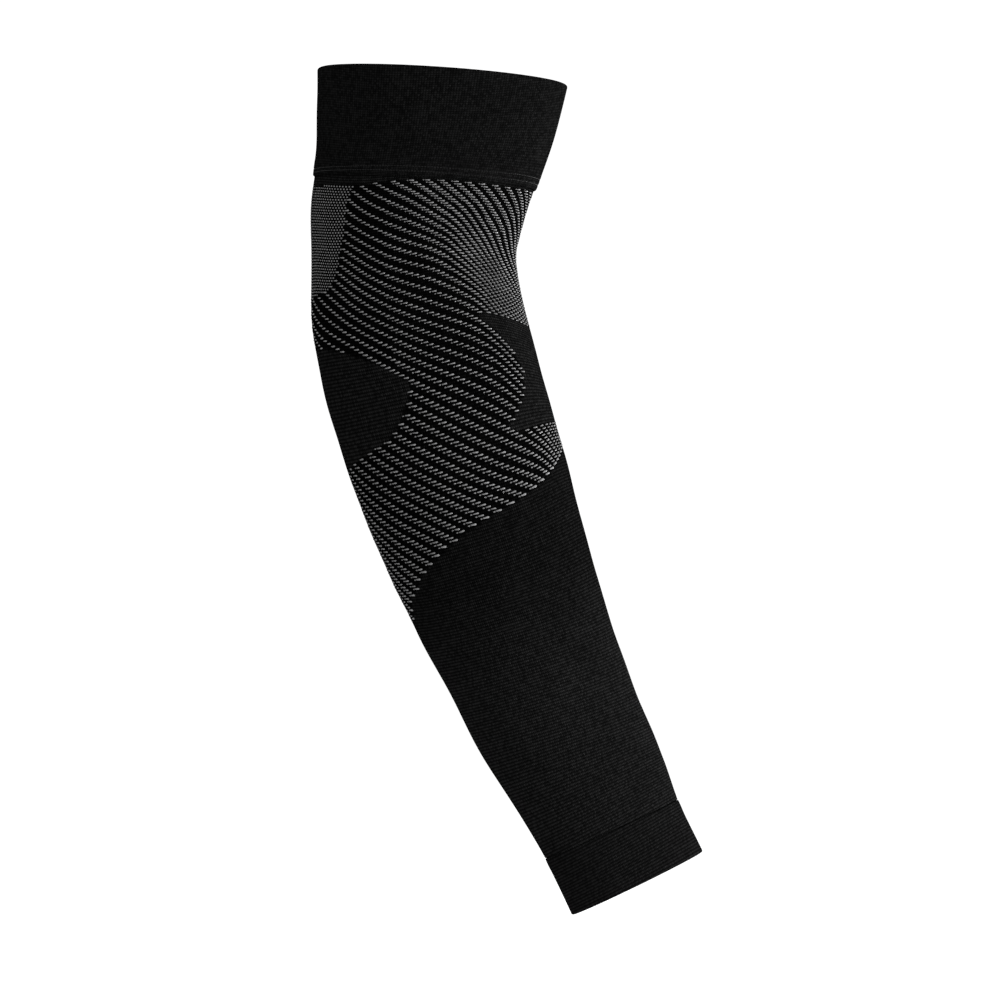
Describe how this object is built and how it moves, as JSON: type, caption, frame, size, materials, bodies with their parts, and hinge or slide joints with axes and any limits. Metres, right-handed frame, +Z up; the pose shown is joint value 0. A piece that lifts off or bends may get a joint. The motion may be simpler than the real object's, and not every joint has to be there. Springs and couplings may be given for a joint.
{
  "type": "arm compression sleeve",
  "caption": "Knitted arm compression sleeve from upper arm to wrist, with a plain folded upper cuff, a patterned knit tube over the elbow and a hemmed wrist cuff.",
  "frame": {"origin": "centre of the upper opening, where the sleeve sits on the upper arm", "axes": "+Z up the upper arm out of the opening, +X to the crook of the elbow, +Y across the arm; the point of the elbow is on -X"},
  "size_m": [0.1875, 0.0954, 0.4049],
  "materials": {
    "cuff_knit": "black double knit, matte",
    "sleeve_knit": "black fine knit with grey plaited stitches, matte",
    "wrist_knit": "black fine knit hem, matte"
  },
  "bodies": {
    "root": {"upper_cuff": "cuff_knit", "sleeve_tube": "sleeve_knit", "wrist_cuff": "wrist_knit"}
  },
  "joints": []
}
